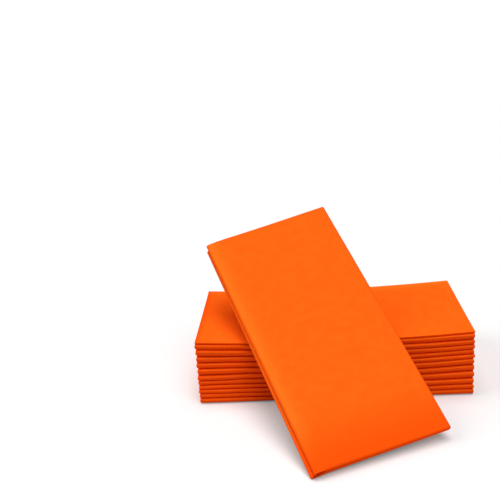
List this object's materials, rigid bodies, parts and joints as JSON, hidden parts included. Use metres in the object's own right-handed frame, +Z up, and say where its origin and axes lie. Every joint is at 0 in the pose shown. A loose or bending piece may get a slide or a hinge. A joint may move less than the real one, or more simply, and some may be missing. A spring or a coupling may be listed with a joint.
{
  "type": "stack of folded paper napkins",
  "caption": "Stack of folded paper napkins, spines to the front, with one more napkin leaning on its front edge, low corner on the table.",
  "frame": {"origin": "middle of the stack's footprint, at the height of the table it stands on", "axes": "+Z up from the table; +X along the long side of the stacked napkins, to the right; the closed spines of the stacked napkins and the leaning napkin face -Y"},
  "size_m": [0.2004, 0.1977, 0.1223],
  "materials": {
    "orange_paper": "matt, soft, fibrous"
  },
  "bodies": {
    "root": {"napkin_01": "orange_paper", "napkin_02": "orange_paper", "napkin_03": "orange_paper", "napkin_04": "orange_paper", "napkin_05": "orange_paper", "napkin_06": "orange_paper", "napkin_07": "orange_paper", "napkin_08": "orange_paper", "napkin_09": "orange_paper", "napkin_10": "orange_paper", "napkin_11": "orange_paper", "napkin_12": "orange_paper", "leaning_napkin": "orange_paper"}
  },
  "joints": []
}
